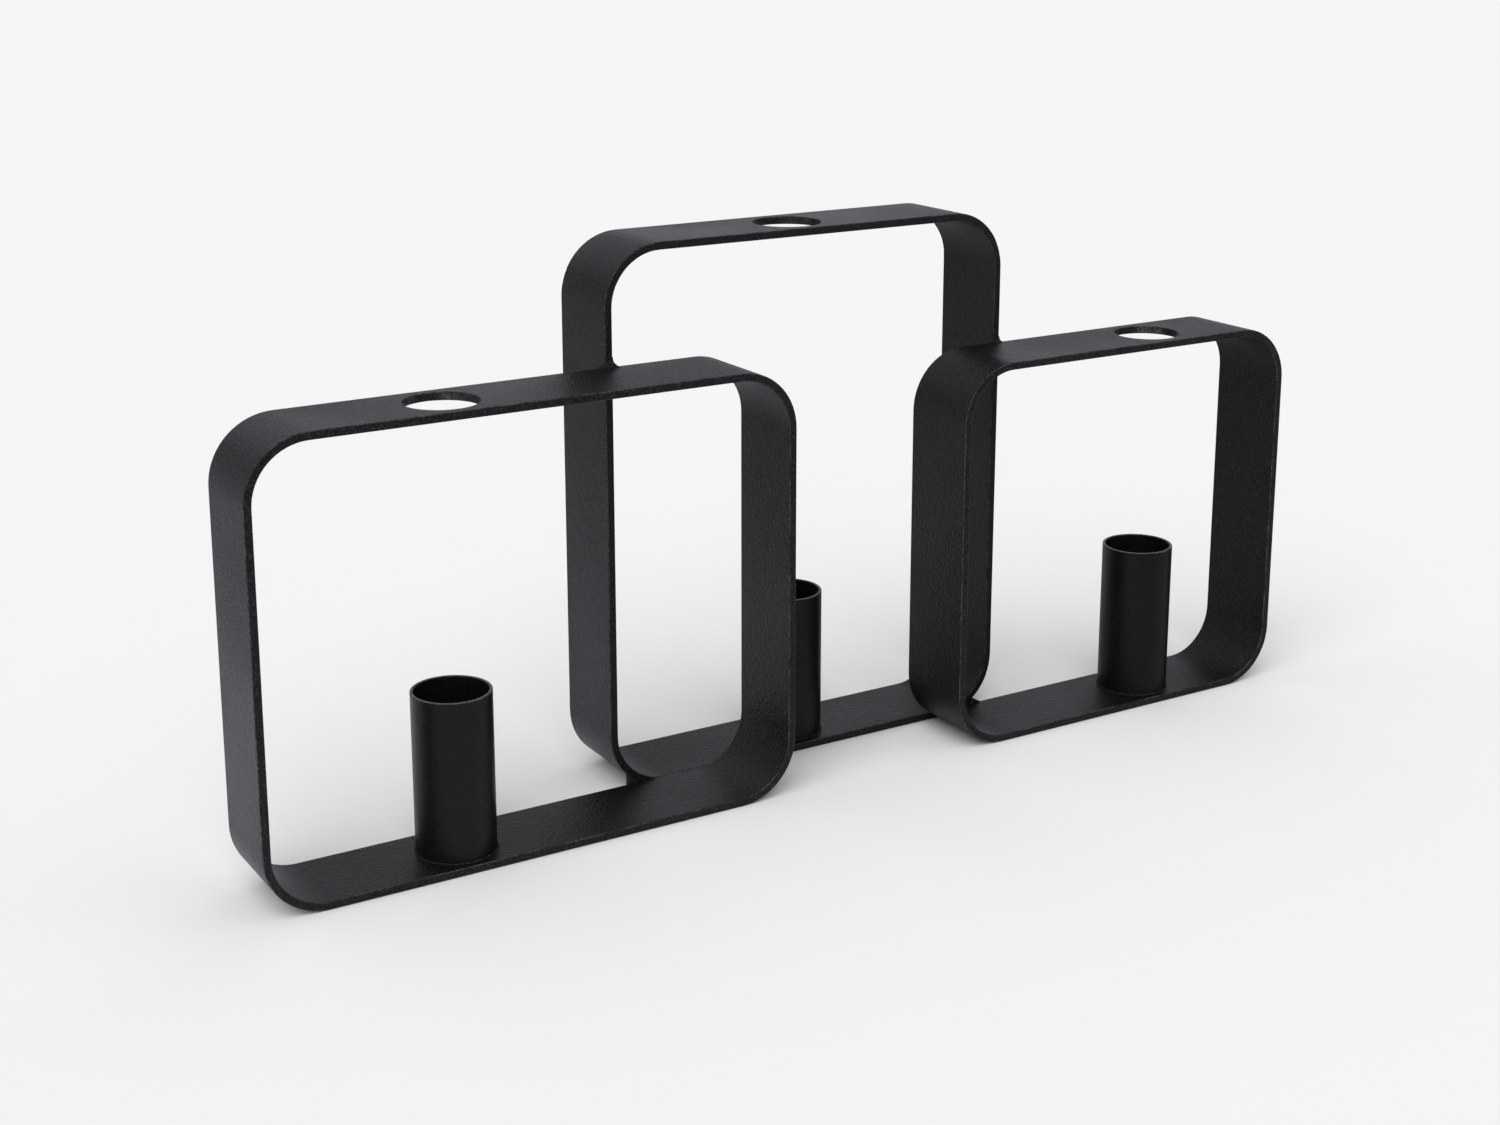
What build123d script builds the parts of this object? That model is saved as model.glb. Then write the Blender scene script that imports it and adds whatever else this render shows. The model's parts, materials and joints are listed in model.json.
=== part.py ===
"""Tabletop candelabra for three dinner candles.

Three rounded rectangular frames, each bent from one flat bar, stand on their bottom bars. The left and
right frames share the front plane, and the taller middle frame stands directly behind them, so that it
touches both along one plane. A candle passes through the hole in a frame's top bar and stands in the
tube cup below it. Welds close each bent bar, fix each cup and join the frames where they cross.

X runs along the row of frames, Y from the front to the back, and Z up. The origin is at the centre of
the overall footprint, on the table, and the plane Y = 0 is where the front and rear frames touch.
"""
import os
from math import sqrt

from build123d import *

# --- driving dimensions, mm ---

# flat bar
bar_width = 30.0        # across the depth of a frame
bar_thickness = 2.6     # 2.5 mm steel with its coat
corner_radius = 20.0    # outside of a bent corner
edge_radius = 0.4       # rounded long edges of the coated bar

# frames: width, height, and the candle's place from the frame's own left side
left_width, left_height, left_candle = 180.0, 143.5, 66.0
middle_width, middle_height, middle_candle = 155.0, 181.5, 76.5
right_width, right_height, right_candle = 144.0, 135.0, 91.0
left_overlap = 52.0     # the middle frame starts this far before the left frame ends
right_overlap = 36.5    # the right frame starts this far before the middle frame ends

# candle cups and the holes above them
cup_bore = 23.0         # inside diameter, for a 22 mm candle
cup_wall = 1.0
left_cup_height, middle_cup_height, right_cup_height = 51.5, 51.0, 54.0  # the right tube is cut longer
rim_radius = 0.3        # rounded lip of a cup
guide_hole = 23.0       # hole through a top bar
hole_edge_radius = 0.3  # rounded edge of a hole

# welds
seam_gap = 1.6          # root gap between the two ends of a bent bar
cup_weld_leg = 0.7      # fillet round the foot of a cup
left_bead_foot, left_bead_rise = 1.8, 3.1     # bead on the left frame's top bar: spread and height
right_bead_foot, right_bead_rise = 0.9, 1.9   # bead on the right frame's top bar
bead_hollow = 0.3       # middle of a top bead's slope, as a share of its spread; 0.5 is a flat slope
foot_bead_front = 1.0   # reach of a foot bead in front of the contact plane
foot_bead_back = 1.6    # and behind it
left_foot_inset = 6.1   # from the middle frame's left side to the end of its foot bead
right_foot_inset = 4.7  # from the middle frame's right side to the toe of its foot bead
foot_bead_rise = 1.7    # height of the right foot bead at its root, above the bar

# --- derived places ---

total_width = left_width + middle_width + right_width - left_overlap - right_overlap
left_x = -total_width / 2                         # left side of each frame
middle_x = left_x + left_width - left_overlap
right_x = middle_x + middle_width - right_overlap
front_y, rear_y = -bar_width, 0.0                 # front face of the frames in each plane

frames = {
    "left": dict(x=left_x, y=front_y, width=left_width, height=left_height,
                 candle=left_candle, cup_height=left_cup_height),
    "middle": dict(x=middle_x, y=rear_y, width=middle_width, height=middle_height,
                   candle=middle_candle, cup_height=middle_cup_height),
    "right": dict(x=right_x, y=front_y, width=right_width, height=right_height,
                  candle=right_candle, cup_height=right_cup_height),
}

cup_radius = cup_bore / 2 + cup_wall
bead_floor = bar_thickness / 2                    # the foot beads stay clear of the table
through_bar = 2 * bar_thickness                   # length of a cut that passes right through a bar
across_bar = 2 * bar_width                        # length of a cut right across a bar


def slab(profile, y_front, y_back):
    """A profile drawn in the XZ plane, made solid from y_front to y_back."""
    plane = Plane.XZ.offset(-y_front)             # the XZ plane's normal points along -Y
    return extrude(plane * profile, -(y_back - y_front))


def rounded_outline(frame, inset):
    """The frame's outline in XZ, moved inwards by the inset."""
    centre_x = frame["x"] + frame["width"] / 2
    size_x = frame["width"] - 2 * inset
    size_z = frame["height"] - 2 * inset
    return Pos(centre_x, frame["height"] / 2) * RectangleRounded(size_x, size_z, corner_radius - inset)


def candle_axis(frame):
    """X and Y of the candle's axis."""
    return frame["x"] + frame["candle"], frame["y"] + bar_width / 2


def bent_bar(frame):
    """The whole closed ring of bar, with rounded edges and the hole for the candle."""
    section = rounded_outline(frame, 0) - rounded_outline(frame, bar_thickness)
    ring = slab(section, frame["y"], frame["y"] + bar_width)
    front_and_back = ring.faces().filter_by(Axis.Y)
    ring = fillet(front_and_back.edges(), edge_radius)
    x, y = candle_axis(frame)
    ring -= Pos(x, y, frame["height"] - bar_thickness / 2) * Cylinder(guide_hole / 2, through_bar)
    level_arcs = ring.edges().filter_by(GeomType.CIRCLE).filter_by(Plane.XY)
    hole_edges = level_arcs.group_by(SortBy.RADIUS)[-1]
    return fillet(hole_edges, hole_edge_radius)


def strip_and_seam(frame):
    """The bent bar with its open ends, and the weld that closes it under the cup."""
    ring = bent_bar(frame)
    x, y = candle_axis(frame)
    gap = Pos(x, y, bar_thickness / 2) * Box(seam_gap, across_bar, through_bar)
    return ring - gap, ring & gap


def cup(frame):
    """An open tube standing on the bottom bar."""
    x, y = candle_axis(frame)
    tube = extrude(Circle(cup_radius) - Circle(cup_bore / 2), frame["cup_height"])
    tube = fillet(tube.edges().group_by(Axis.Z)[-1], rim_radius)
    return Pos(x, y, bar_thickness) * tube


def cup_weld(frame):
    """A concave fillet round the foot of the cup."""
    x, y = candle_axis(frame)
    corner = (cup_radius, 0)
    toe, top = (cup_radius + cup_weld_leg, 0), (cup_radius, cup_weld_leg)
    outline = Line(toe, corner) + Line(corner, top) + RadiusArc(top, toe, cup_weld_leg)
    return Pos(x, y, bar_thickness) * revolve(Plane.XZ * make_face(outline), Axis.Z)


def flare(half_width, foot, rise):
    """Outline of a weld bead: a slope below, and a concave fillet up to the rise above."""
    wide = half_width + foot
    slope_middle = (half_width + bead_hollow * foot, bead_hollow * rise)
    right = (
        Line((0, -foot), (half_width, -foot))
        + Line((half_width, -foot), (wide, 0))
        + ThreePointArc((wide, 0), slope_middle, (half_width, rise))
        + Line((half_width, rise), (0, rise))
    )
    return make_face(right + mirror(right, Plane.YZ))


def top_bead(upright_x, bar_top, foot, rise, neighbours):
    """Bead where an upright of the rear frame crosses the top bar of a front frame."""
    reach = bar_thickness / 2 + foot
    across = slab(Pos(upright_x, bar_top) * flare(bar_thickness / 2, foot, rise), -reach, reach)
    along = extrude(Plane.YZ * Pos(0, bar_top) * flare(edge_radius, foot, rise), reach, both=True)
    return across & Pos(upright_x, 0, 0) * along - neighbours


def foot_bead(rear_frame, outline, neighbours):
    """Bead in the wedge between the rear frame's rounded foot and the bottom bar in front of it."""
    wedge = outline - rounded_outline(rear_frame, 0)
    behind = slab(wedge, 0, foot_bead_back)
    ahead = slab(wedge, -foot_bead_front, 0)
    return behind + ahead - neighbours


def left_foot_outline():
    """The left foot bead: upright at its outer end, and narrowing inwards under the corner."""
    start = middle_x + left_foot_inset
    length = corner_radius - left_foot_inset
    height = corner_radius - bead_floor
    return Pos(start + length / 2, bead_floor + height / 2) * Rectangle(length, height)


def right_foot_outline():
    """The right foot bead: a slope from the corner of the middle frame down to the right frame's bar."""
    side = middle_x + middle_width
    toe = side - right_foot_inset
    inner = side - corner_radius
    root_z = bar_thickness + foot_bead_rise
    root_x = inner + sqrt(corner_radius**2 - (corner_radius - root_z) ** 2)
    corners = (toe, bead_floor), (toe, bar_thickness), (root_x, root_z), (inner, root_z), (inner, bead_floor)
    return make_face(Polyline(*corners, close=True))


# --- build and write every node ---

nodes = {}
for side, frame in frames.items():
    nodes[f"{side}_strip"], nodes[f"{side}_seam"] = strip_and_seam(frame)
    nodes[f"{side}_cup"] = cup(frame)
    nodes[f"{side}_cup_weld"] = cup_weld(frame)

left_pair = nodes["left_strip"] + nodes["middle_strip"]
right_pair = nodes["right_strip"] + nodes["middle_strip"]
left_upright_x = middle_x + bar_thickness / 2
right_upright_x = middle_x + middle_width - bar_thickness / 2
nodes |= {
    "left_top_weld": top_bead(left_upright_x, left_height, left_bead_foot, left_bead_rise, left_pair),
    "right_top_weld": top_bead(right_upright_x, right_height, right_bead_foot, right_bead_rise, right_pair),
    "left_foot_weld": foot_bead(frames["middle"], left_foot_outline(), left_pair),
    "right_foot_weld": foot_bead(frames["middle"], right_foot_outline(), right_pair),
}

os.makedirs("parts", exist_ok=True)
for name, solid in nodes.items():
    export_step(solid, f"parts/{name}.step")
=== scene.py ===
"""Looks of the tabletop candelabra.

The bent bars and the candle cups keep their solids and get a black powder coat. The welds that join them
are replaced by finer beads of the same size. The object stands on a pale floor in soft studio light.
Lengths are in metres and angles in degrees.
"""
import json
import math
from functools import reduce

import bmesh
import bpy
from mathutils import Matrix, Vector


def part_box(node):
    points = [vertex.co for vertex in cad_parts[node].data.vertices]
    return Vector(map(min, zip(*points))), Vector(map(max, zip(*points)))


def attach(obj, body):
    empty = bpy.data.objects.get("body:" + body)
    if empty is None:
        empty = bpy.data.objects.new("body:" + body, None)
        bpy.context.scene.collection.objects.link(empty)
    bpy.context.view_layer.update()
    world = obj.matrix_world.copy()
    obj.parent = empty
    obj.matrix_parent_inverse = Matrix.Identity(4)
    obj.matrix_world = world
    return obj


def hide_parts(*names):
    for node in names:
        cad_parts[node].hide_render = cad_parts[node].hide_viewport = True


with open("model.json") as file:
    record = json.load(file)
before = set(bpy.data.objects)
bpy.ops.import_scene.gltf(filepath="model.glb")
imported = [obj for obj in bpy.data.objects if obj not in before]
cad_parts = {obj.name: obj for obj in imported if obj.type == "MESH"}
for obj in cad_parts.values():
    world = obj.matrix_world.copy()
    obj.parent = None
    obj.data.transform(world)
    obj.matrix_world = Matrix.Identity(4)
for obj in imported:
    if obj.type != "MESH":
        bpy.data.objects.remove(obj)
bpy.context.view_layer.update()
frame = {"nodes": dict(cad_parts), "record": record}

MM = 0.001
SIDES = ("left", "middle", "right")

slot_of = {part["node"]: part["material_slot"] for part in frame["record"]["subparts"]}


# --- helpers ---

def add(tree, kind, sockets=None, **settings):
    """A node of this kind, with its settings, and with a value or a link for each named input."""
    node = tree.nodes.new(kind)
    for key, value in settings.items():
        setattr(node, key, value)
    for key, value in (sockets or {}).items():
        if isinstance(value, bpy.types.NodeSocket):
            tree.links.new(value, node.inputs[key])
        else:
            node.inputs[key].default_value = value
    return node


def maths(tree, operation, *values):
    """The result of a Math node."""
    return add(tree, "ShaderNodeMath", dict(enumerate(values)), operation=operation).outputs[0]


def plus(tree, *terms):
    """The sum of the terms."""
    return reduce(lambda one, other: maths(tree, "ADD", one, other), terms)


def times(tree, *factors):
    """The product of the factors."""
    return reduce(lambda one, other: maths(tree, "MULTIPLY", one, other), factors)


def vector_maths(tree, operation, first, second, output="Vector"):
    """The result of a Vector Math node."""
    other = "Scale" if operation == "SCALE" else 1
    return add(tree, "ShaderNodeVectorMath", {0: first, other: second}, operation=operation).outputs[output]


def stretch(tree, value, low, high, to_low=0.0, to_high=1.0, smooth=True):
    """The value's range from low to high, spread over another range and held at its ends."""
    node = add(tree, "ShaderNodeMapRange", {
        "Value": value, "From Min": low, "From Max": high, "To Min": to_low, "To Max": to_high,
    }, interpolation_type="SMOOTHSTEP" if smooth else "LINEAR")
    return node.outputs["Result"]


def swing(tree, pattern, middle, reach, smooth=True):
    """A value that the pattern moves this far to both sides of the middle."""
    return stretch(tree, pattern, 0.3, 0.7, middle - reach, middle + reach, smooth)


def noise(tree, place, size, detail=2.0, harshness=0.5):
    """Noise between 0 and 1 whose lumps have about this size."""
    node = add(tree, "ShaderNodeTexNoise", {
        "Vector": place, "Scale": 1.0 / size, "Detail": detail, "Roughness": harshness,
    })
    return node.outputs["Fac"]


def blend(tree, share, first, second, kind="RGBA"):
    """The first colour or value, with this share of the second mixed in."""
    one, other, result = {"FLOAT": (2, 3, 0), "RGBA": (6, 7, 2)}[kind]      # sockets of the Mix node
    return add(tree, "ShaderNodeMix", {0: share, one: first, other: second}, data_type=kind).outputs[result]


def opaque(colour, shade=1.0):
    """The colour times the shade, with the fourth number that a colour socket has."""
    return [shade * c for c in colour] + [1.0]


def cleared_tree(owner):
    """The node tree of a new material or world, with nothing in it."""
    owner.use_nodes = True
    owner.node_tree.nodes.clear()
    return owner.node_tree


def direction(azimuth, elevation):
    """The unit vector that looks this way: azimuth turns from +Y to +X, and elevation rises from level."""
    a, e = math.radians(azimuth), math.radians(elevation)
    return Vector((math.sin(a) * math.cos(e), math.cos(a) * math.cos(e), math.sin(e)))


# --- powder coat ---

COAT_SPECULAR = 0.125                   # a dull sheen
MOTTLE_SIZE = 7 * MM                    # soft patches in the colour
HAZE_SIZE, HAZE_REACH = 45 * MM, 0.03   # wide patches in the roughness
DUST_REACH = 0.08                       # how far the dust moves the roughness
NIB_SPACING, NIB_HEIGHT = 0.75 * MM, 0.03 * MM
GRIT_SIZE, GRIT_HEIGHT = 0.7 * MM, 0.15 * MM
DRAW_LINE_SPACING = 1.5 * MM
DRAW_LINE_SQUEEZE = 0.05                # the lines are 20 times longer than wide
DRAW_LINE_REACH = 0.05                  # how far they move the roughness
WELD_LUMP_SIZE = 2 * MM
# Pale colours for a bar's rounded edges and for a tube's upper lip: partly rubbed coat and partly a painted
# highlight.
WORN_AND_HIGHLIT_EDGE = (0.13, 0.13, 0.135)
LIP_WEAR_HIGHLIGHT_AND_GRIT = (0.12, 0.12, 0.125)        # and the colour of the grit on the cut faces


def powder_coat(name, colour, roughness, grain, grain_height, dust_shade, nib_share,
                edge_wear_and_highlight=0.0, lip_wear_and_highlight=0.0, cut_grit=0.0, draw_lines=0.0, lumps=0.0):
    """Black powder coat: a fine sandy grain with pale dust in it, soft mottling and small nibs.

    grain and grain_height are the size and the height of the grains. dust_shade says how many times paler
    than the coat the dust is, and nib_share how many of the places for a nib have one.
    edge_wear_and_highlight and lip_wear_and_highlight say how far a bar's rounded edges and a tube's upper
    lip are paled: partly rubbed coat and partly a painted highlight. cut_grit is the strength of the grit
    on a bar's narrow cut faces, which look along Y. draw_lines is the height of the lines along a drawn
    tube, and lumps that of the soft unevenness that a weld leaves under the coat.
    """
    material = bpy.data.materials.new(name)
    tree = cleared_tree(material)
    coordinates = add(tree, "ShaderNodeTexCoord").outputs
    place = coordinates["Object"]

    fine = noise(tree, place, grain, detail=2.0, harshness=0.6)
    coarse = noise(tree, place, 1.8 * grain, detail=1.0, harshness=0.6)
    peel = noise(tree, place, 6.0 * grain, detail=1.0)
    dust = noise(tree, place, 1.5 * grain, detail=2.0, harshness=0.9)
    gravel = noise(tree, place, GRIT_SIZE, detail=2.0, harshness=0.9)
    mottle = noise(tree, place, MOTTLE_SIZE, detail=3.0)
    haze = noise(tree, place, HAZE_SIZE, detail=1.0)

    # A bar's flat faces look along Y or across it, and its rounded edges look in between. The edges are
    # paled in patches, partly as rubbed coat and partly as a painted highlight. The grit lies on the edges
    # too, and is half as dense on the flat of a cut face.
    normal = add(tree, "ShaderNodeSeparateXYZ", {"Vector": coordinates["Normal"]}).outputs
    leaning = maths(tree, "ABSOLUTE", normal["Y"])
    edge = times(tree, stretch(tree, leaning, 0.12, 0.5), stretch(tree, leaning, 0.99, 0.85))
    patchy = times(tree, stretch(tree, coarse, 0.38, 0.60, 0.3, 1.0),
                   stretch(tree, mottle, 0.38, 0.62, 0.25 * edge_wear_and_highlight, edge_wear_and_highlight))
    edge_wear_and_highlight_mask = times(tree, edge, patchy)
    cut_face = times(tree, stretch(tree, leaning, 0.10, 0.35), stretch(tree, leaning, 0.99, 0.85, 0.5, 1.0))
    grit = times(tree, cut_face, stretch(tree, gravel, 0.48, 0.66))
    # A tube's upward-facing lip is paled in patches, partly as rubbed coat and partly as a painted
    # highlight.
    lip = times(tree, stretch(tree, normal["Z"], 0.15, 0.7),
                stretch(tree, dust, 0.42, 0.62, 0.3 * lip_wear_and_highlight, lip_wear_and_highlight))

    # Nibs stand in the middle of some of the cells, with a ragged outline.
    cells = add(tree, "ShaderNodeTexVoronoi", {"Vector": place, "Scale": 1.0 / NIB_SPACING}).outputs
    chance = add(tree, "ShaderNodeSeparateColor", {"Color": cells["Color"]}).outputs["Red"]
    away = plus(tree, cells["Distance"], times(tree, fine, 0.35))
    nib = times(tree, stretch(tree, away, 0.45, 0.20), maths(tree, "LESS_THAN", chance, nib_share))

    mottled = add(tree, "ShaderNodeValToRGB", {"Fac": mottle})
    for stop, position, shade in zip(mottled.color_ramp.elements, (0.25, 0.75), (0.80, 1.20)):
        stop.position, stop.color = position, opaque(colour, shade)
    tint = mottled.outputs["Color"]
    # Pale dust and nibs, grit on the cut faces, and edges and lip paled partly as rubbed coat and partly as
    # a painted highlight.
    for share, other in (
        (stretch(tree, dust, 0.52, 0.72), opaque(colour, dust_shade)),
        (edge_wear_and_highlight_mask, opaque(WORN_AND_HIGHLIT_EDGE)),
        (times(tree, nib, 0.8), opaque(colour, 1.6 * dust_shade)),
        (maths(tree, "MAXIMUM", lip, times(tree, grit, cut_grit)), opaque(LIP_WEAR_HIGHLIGHT_AND_GRIT)),
    ):
        tint = blend(tree, share, tint, other)

    rough = plus(tree, swing(tree, haze, roughness, HAZE_REACH), swing(tree, dust, 0.0, DUST_REACH),
                 times(tree, edge_wear_and_highlight_mask, -0.08))
    height = plus(
        tree,
        times(tree, plus(tree, fine, times(tree, coarse, 2.0)), grain_height),
        times(tree, peel, 0.8 * grain_height),
        times(tree, nib, NIB_HEIGHT),
        times(tree, grit, cut_grit * GRIT_HEIGHT),
    )
    if draw_lines:
        squeezed = vector_maths(tree, "MULTIPLY", place, (1.0, 1.0, DRAW_LINE_SQUEEZE))
        lines = noise(tree, squeezed, DRAW_LINE_SPACING, detail=3.0)
        rough = plus(tree, rough, swing(tree, lines, 0.0, DRAW_LINE_REACH))
        height = plus(tree, height, times(tree, lines, draw_lines))
    if lumps:
        height = plus(tree, height, times(tree, noise(tree, place, WELD_LUMP_SIZE), lumps))

    bump = add(tree, "ShaderNodeBump", {"Height": height, "Strength": 1.0, "Distance": 1.0})
    shader = add(tree, "ShaderNodeBsdfPrincipled", {
        "Base Color": tint, "Roughness": rough, "Normal": bump.outputs["Normal"],
        "Specular IOR Level": COAT_SPECULAR,
    })
    add(tree, "ShaderNodeOutputMaterial", {"Surface": shader.outputs["BSDF"]})
    return material


coats = {
    "coated_bar": powder_coat(
        "black_coat_on_bar", colour=(0.0027, 0.0026, 0.0031), roughness=0.40, grain=0.42 * MM,
        grain_height=0.13 * MM, dust_shade=13.0, nib_share=0.14, edge_wear_and_highlight=0.5, cut_grit=0.19),
    "coated_cup": powder_coat(
        "black_coat_on_cup", colour=(0.0042, 0.0042, 0.0045), roughness=0.40, grain=0.45 * MM,
        grain_height=0.04 * MM, dust_shade=2.8, nib_share=0.02, lip_wear_and_highlight=0.9, draw_lines=0.04 * MM),
    "coated_weld": powder_coat(
        "black_coat_on_weld", colour=(0.0045, 0.0044, 0.0050), roughness=0.65, grain=0.50 * MM,
        grain_height=0.05 * MM, dust_shade=5.0, nib_share=0.05, cut_grit=0.4, lumps=0.15 * MM),
}

for node_name, piece in frame["nodes"].items():
    for material_slot in piece.material_slots:
        material_slot.material = coats[slot_of[node_name]]


# --- welds ---

def new_tree(name, inputs):
    """A geometry tree with these named inputs, given as (name, kind) pairs, and one geometry output."""
    tree = bpy.data.node_groups.new(name, "GeometryNodeTree")
    for label, kind in inputs:
        tree.interface.new_socket(label, in_out="INPUT", socket_type="NodeSocket" + kind)
    tree.interface.new_socket("Geometry", in_out="OUTPUT", socket_type="NodeSocketGeometry")
    return tree, tree.nodes.new("NodeGroupInput").outputs


def lumpiness(tree, given):
    """Soft lumps of a weld bead, from minus one to one times the lump height."""
    spot = add(tree, "GeometryNodeInputPosition").outputs[0]
    moved = vector_maths(tree, "ADD", spot, times(tree, given["Seed"], 0.1))
    lumps = add(tree, "ShaderNodeTexNoise", {
        "Vector": moved, "Scale": maths(tree, "DIVIDE", 1.0, given["Lump Size"]), "Detail": 1.0,
    }).outputs["Fac"]
    return times(tree, swing(tree, lumps, 0.0, 1.0, smooth=False), given["Lump Height"])


def lift_skin(tree, geometry, rise):
    """The geometry with its surface moved outwards by the rise."""
    outwards = add(tree, "GeometryNodeInputNormal").outputs[0]
    offset = vector_maths(tree, "SCALE", outwards, rise)
    return add(tree, "GeometryNodeSetPosition", {"Geometry": geometry, "Offset": offset}).outputs[0]


def close_tree(tree, geometry, finish):
    """Realizes the tree's result, gives it its material and links it to the output."""
    whole = add(tree, "GeometryNodeRealizeInstances", {"Geometry": geometry}).outputs[0]
    smooth = add(tree, "GeometryNodeSetShadeSmooth", {"Geometry": whole}).outputs[0]
    coated = add(tree, "GeometryNodeSetMaterial", {"Geometry": smooth, "Material": finish}).outputs[0]
    add(tree, "NodeGroupOutput", {"Geometry": coated})


def ring_bead_tree(steps_per_ripple=7, section_steps=14):
    """A round weld bead that runs once round a tube, with a ripple for each dab of the torch."""
    tree, given = new_tree("weld_ring", [
        ("Place", "Vector"), ("Ring Radius", "Float"), ("Bead Radius", "Float"), ("Ripples", "Int"),
        ("Ripple Height", "Float"), ("Lump Size", "Float"), ("Lump Height", "Float"), ("Seed", "Int"),
        ("Finish", "Material"),
    ])
    path = add(tree, "GeometryNodeCurvePrimitiveCircle", {
        "Resolution": times(tree, given["Ripples"], steps_per_ripple), "Radius": given["Ring Radius"],
    }).outputs["Curve"]
    section = add(tree, "GeometryNodeCurvePrimitiveCircle", {
        "Resolution": section_steps, "Radius": given["Bead Radius"],
    }).outputs["Curve"]
    tube = add(tree, "GeometryNodeCurveToMesh", {"Curve": path, "Profile Curve": section}).outputs["Mesh"]
    spot = add(tree, "GeometryNodeInputPosition").outputs[0]
    axes = add(tree, "ShaderNodeSeparateXYZ", {"Vector": spot}).outputs
    turn = maths(tree, "ARCTAN2", axes["Y"], axes["X"])
    ripple = times(tree, maths(tree, "COSINE", times(tree, turn, given["Ripples"])), given["Ripple Height"])
    skin = lift_skin(tree, tube, plus(tree, ripple, lumpiness(tree, given)))
    placed = add(tree, "GeometryNodeTransform", {
        "Geometry": skin, "Translation": given["Place"],
    }).outputs[0]
    close_tree(tree, placed, given["Finish"])
    return tree


def crossing_bead_tree():
    """The lumpy skin of a short bead laid in the corner between two crossing bars."""
    tree, given = new_tree("weld_crossing", [
        ("Bead", "Geometry"), ("Swell", "Float"), ("Ripple Spacing", "Float"), ("Ripple Height", "Float"),
        ("Ripple Way", "Vector"), ("Lump Size", "Float"), ("Lump Height", "Float"), ("Seed", "Int"),
        ("Finish", "Material"),
    ])
    spot = add(tree, "GeometryNodeInputPosition").outputs[0]
    along = vector_maths(tree, "DOT_PRODUCT", spot, given["Ripple Way"], output="Value")
    phase = times(tree, maths(tree, "DIVIDE", along, given["Ripple Spacing"]), math.tau)
    ripple = times(tree, maths(tree, "COSINE", phase), given["Ripple Height"])
    skin = lift_skin(tree, given["Bead"], plus(tree, ripple, lumpiness(tree, given), given["Swell"]))
    close_tree(tree, skin, given["Finish"])
    return tree


def grow(name, mesh, tree, node_name, remesh=None, **inputs):
    """Runs a geometry tree on a mesh, and puts the result, a plain mesh, in a CAD node's place."""
    piece = bpy.data.objects.new(name, mesh)
    bpy.context.scene.collection.objects.link(piece)
    if remesh:
        skin = piece.modifiers.new("even_skin", "REMESH")
        skin.mode, skin.voxel_size = "VOXEL", remesh
    growth = piece.modifiers.new("growth", "NODES")
    growth.node_group = tree
    socket = {item.name: item.identifier for item in tree.interface.items_tree if item.in_out == "INPUT"}
    for label, value in inputs.items():
        growth[socket[label.replace("_", " ")]] = value
    grown = bpy.data.meshes.new_from_object(piece.evaluated_get(bpy.context.evaluated_depsgraph_get()))
    piece.modifiers.clear()
    piece.data = grown
    grown.name = name
    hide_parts(node_name)
    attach(piece, "root")


def merged_mesh(node_name):
    """A copy of a CAD node's mesh with its loose triangles joined."""
    mesh = bpy.data.meshes.new(node_name + "_core")
    shape = bmesh.new()
    shape.from_mesh(frame["nodes"][node_name].data)
    bmesh.ops.remove_doubles(shape, verts=shape.verts, dist=0.001 * MM)
    shape.to_mesh(mesh)
    shape.free()
    return mesh


def add_corner_run(mesh):
    """Adds to the right top bead its end: a thin run of weld up the corner of the upright."""
    inset = 1.9 * MM                            # from the upright's outer side to the middle of the run
    half = (1.1 * MM, 0.35 * MM, 2.1 * MM)      # half of its length each way
    upright_x, bar_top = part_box("middle_strip")[1][0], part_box("right_strip")[1][2]
    middle = Matrix.Translation((upright_x - inset, 0.0, bar_top + half[2]))
    shape = bmesh.new()
    shape.from_mesh(mesh)
    bmesh.ops.create_icosphere(shape, subdivisions=3, radius=1.0,
                               matrix=middle @ Matrix.Diagonal((*half, 1.0)))
    shape.to_mesh(mesh)
    shape.free()


def lay_cup_beads():
    """The bead round the foot of each cup."""
    tree = ring_bead_tree()
    for seed, side in enumerate(SIDES):
        low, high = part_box(side + "_cup")
        axis_x, axis_y = (low[0] + high[0]) / 2, (low[1] + high[1]) / 2
        grow(side + "_cup_foot_bead", bpy.data.meshes.new("start"), tree, side + "_cup_weld",
             Place=(axis_x, axis_y, low[2]), Ring_Radius=(high[0] - low[0]) / 2, Bead_Radius=0.4 * MM,
             Ripples=84, Ripple_Height=0.015 * MM, Lump_Size=3 * MM, Lump_Height=0.05 * MM,
             Seed=seed, Finish=coats["coated_weld"])


def lay_crossing_beads():
    """The beads where the frames cross: the top ones run along Y, and the foot ones along X."""
    tree = crossing_bead_tree()
    along_x, along_y = (1, 0, 0), (0, 1, 0)
    for seed, (node_name, way) in enumerate((
        ("left_top_weld", along_y), ("right_top_weld", along_y),
        ("left_foot_weld", along_x), ("right_foot_weld", along_x),
    ), start=10):
        core = merged_mesh(node_name)
        if node_name == "right_top_weld":
            add_corner_run(core)
        grow(node_name.replace("weld", "bead"), core, tree, node_name, remesh=0.15 * MM,
             Swell=0.02 * MM, Ripple_Spacing=0.9 * MM, Ripple_Height=0.03 * MM, Ripple_Way=way,
             Lump_Size=1.6 * MM, Lump_Height=0.06 * MM, Seed=seed, Finish=coats["coated_weld"])


lay_cup_beads()
lay_crossing_beads()


# --- floor and light ---

PALE = 0.92                     # floor and background
WHITE = (1.0, 1.0, 1.0)
COOL = (0.97, 0.955, 1.055)     # tint of what the coat reflects


def seen_colour(tree, path):
    """The plain pale colour, a little cooler in reflections."""
    return blend(tree, path["Is Glossy Ray"], opaque(WHITE, PALE), opaque(COOL, PALE))


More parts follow.
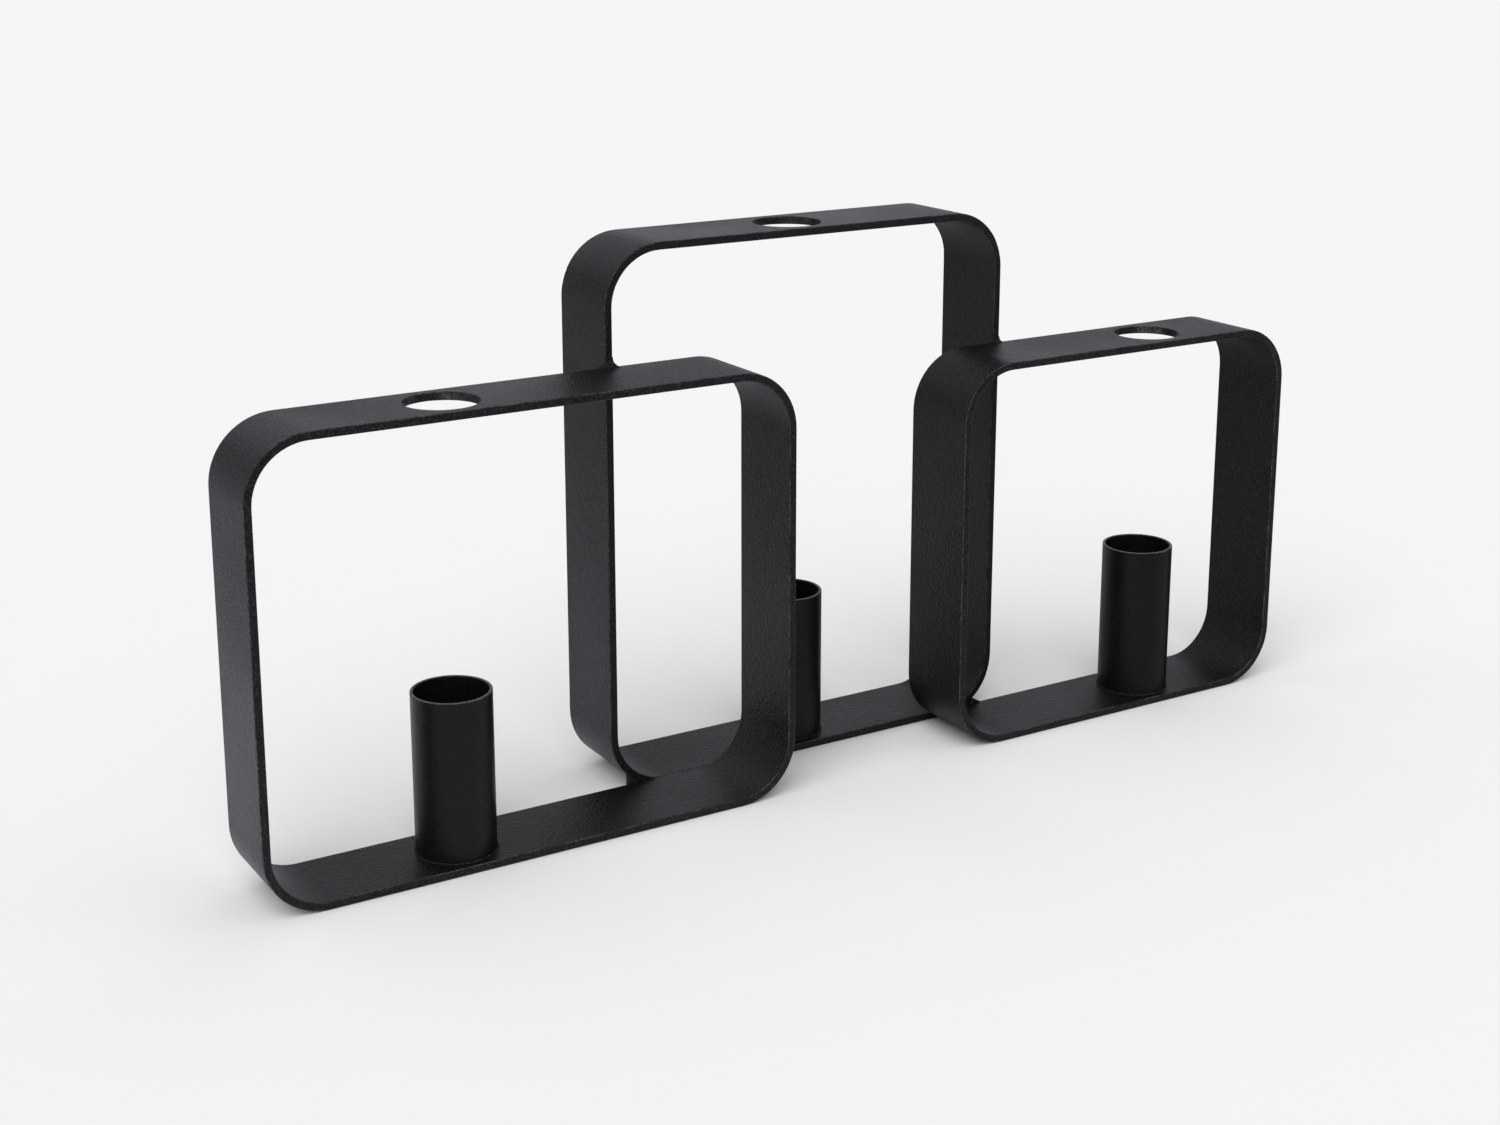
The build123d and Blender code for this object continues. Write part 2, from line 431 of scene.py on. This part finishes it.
def paint_floor(painted_pool_centre=(-0.22, 0.0, 0.0), inside=0.10, outside=0.50, bright=1.30, dim=0.62):
    """Plain and pale. In reflections a pool of light is painted on it: bright round its centre, by the left
    frame, and dim elsewhere.
    """
    material = bpy.data.materials.new("pale_floor")
    tree = cleared_tree(material)
    path = add(tree, "ShaderNodeLightPath").outputs
    spot = add(tree, "ShaderNodeTexCoord").outputs["Object"]
    away = vector_maths(tree, "DISTANCE", spot, painted_pool_centre, output="Value")
    # A painted pool of light on the floor, seen only in reflections: bright near its centre, dim far off.
    mirrored = stretch(tree, away, inside, outside, bright, dim)
    level = blend(tree, path["Is Glossy Ray"], 1.0, mirrored, "FLOAT")
    colour = vector_maths(tree, "SCALE", seen_colour(tree, path), level)
    surface = add(tree, "ShaderNodeBsdfDiffuse", {"Color": colour})
    add(tree, "ShaderNodeOutputMaterial", {"Surface": surface.outputs["BSDF"]})
    return material


def lay_floor(radius=12.0, below=0.1 * MM, sides=64):
    """A wide round floor, a hair below the bars."""
    mesh = bpy.data.meshes.new("floor")
    turns = (math.tau * i / sides for i in range(sides))
    mesh.from_pydata([(math.cos(a) * radius, math.sin(a) * radius, -below) for a in turns],
                     [], [list(range(sides))])
    floor = bpy.data.objects.new("floor", mesh)
    floor.data.materials.append(paint_floor())
    bpy.context.scene.collection.objects.link(floor)


def light_world(ambient):
    """An even white surrounding. The camera and reflections see the pale backdrop instead. In reflections
    it fades towards the ceiling, with a gap low down behind the object and a lit panel high above it."""
    world = bpy.data.worlds.new("studio")
    bpy.context.scene.world = world
    tree = cleared_tree(world)
    path = add(tree, "ShaderNodeLightPath").outputs
    towards = add(tree, "ShaderNodeTexCoord").outputs["Generated"]
    height = add(tree, "ShaderNodeSeparateXYZ", {"Vector": towards}).outputs["Z"]

    def near(azimuth, elevation, reach):
        """1 in this direction, falling to 0 at this many degrees from it."""
        alike = vector_maths(tree, "DOT_PRODUCT", towards, direction(azimuth, elevation), output="Value")
        return stretch(tree, alike, math.cos(math.radians(reach)), 1.0)

    fade = stretch(tree, height, 0.24, 0.50, 1.04, 0.42, smooth=False)
    gap = times(tree, near(azimuth=-12, elevation=-3, reach=24), -1.0)
    panel = times(tree, near(azimuth=-17, elevation=38, reach=30), 0.8)
    mirrored = plus(tree, times(tree, fade, plus(tree, gap, 1.0)), panel)
    strength = blend(tree, path["Is Camera Ray"], mirrored, 1.0, "FLOAT")
    seen = maths(tree, "MAXIMUM", path["Is Camera Ray"],
                 maths(tree, "MAXIMUM", path["Is Glossy Ray"], path["Is Transmission Ray"]))
    around = add(tree, "ShaderNodeBackground", {"Color": opaque(WHITE), "Strength": ambient})
    backdrop = add(tree, "ShaderNodeBackground", {"Color": seen_colour(tree, path), "Strength": strength})
    both = add(tree, "ShaderNodeMixShader", {0: seen, 1: around.outputs[0], 2: backdrop.outputs[0]})
    add(tree, "ShaderNodeOutputWorld", {"Surface": both.outputs[0]})


def hang_sun(name, share, azimuth, elevation, spread):
    """A soft distant lamp that gives the floor this share of its full light."""
    lamp = bpy.data.lights.new(name, "SUN")
    lamp.angle = math.radians(spread)
    lamp.energy = share * math.pi / math.sin(math.radians(elevation))
    holder = bpy.data.objects.new(name, lamp)
    holder.rotation_euler = direction(azimuth, elevation).to_track_quat("Z", "Y").to_euler()
    bpy.context.scene.collection.objects.link(holder)


lay_floor()
light_world(ambient=0.66)
hang_sun("key", share=0.34, azimuth=-135, elevation=50, spread=50)


# --- camera ---

def set_camera(place, azimuth, elevation, lens, shift):
    """The camera. Its lens and the width of its sensor are in millimetres."""
    data = bpy.data.cameras.new("camera")
    data.sensor_width = 36.0
    data.lens = lens
    data.shift_y = shift
    data.clip_start, data.clip_end = 0.01, 100.0
    camera = bpy.data.objects.new("camera", data)
    camera.location = place
    camera.rotation_euler = direction(azimuth, elevation).to_track_quat("-Z", "Y").to_euler()
    bpy.context.scene.collection.objects.link(camera)
    bpy.context.scene.camera = camera


set_camera(place=(-0.3764, -0.5904, 0.2894), azimuth=31.522, elevation=-13.558, lens=52.307, shift=-0.10)

bpy.context.scene.view_settings.view_transform = "Standard"
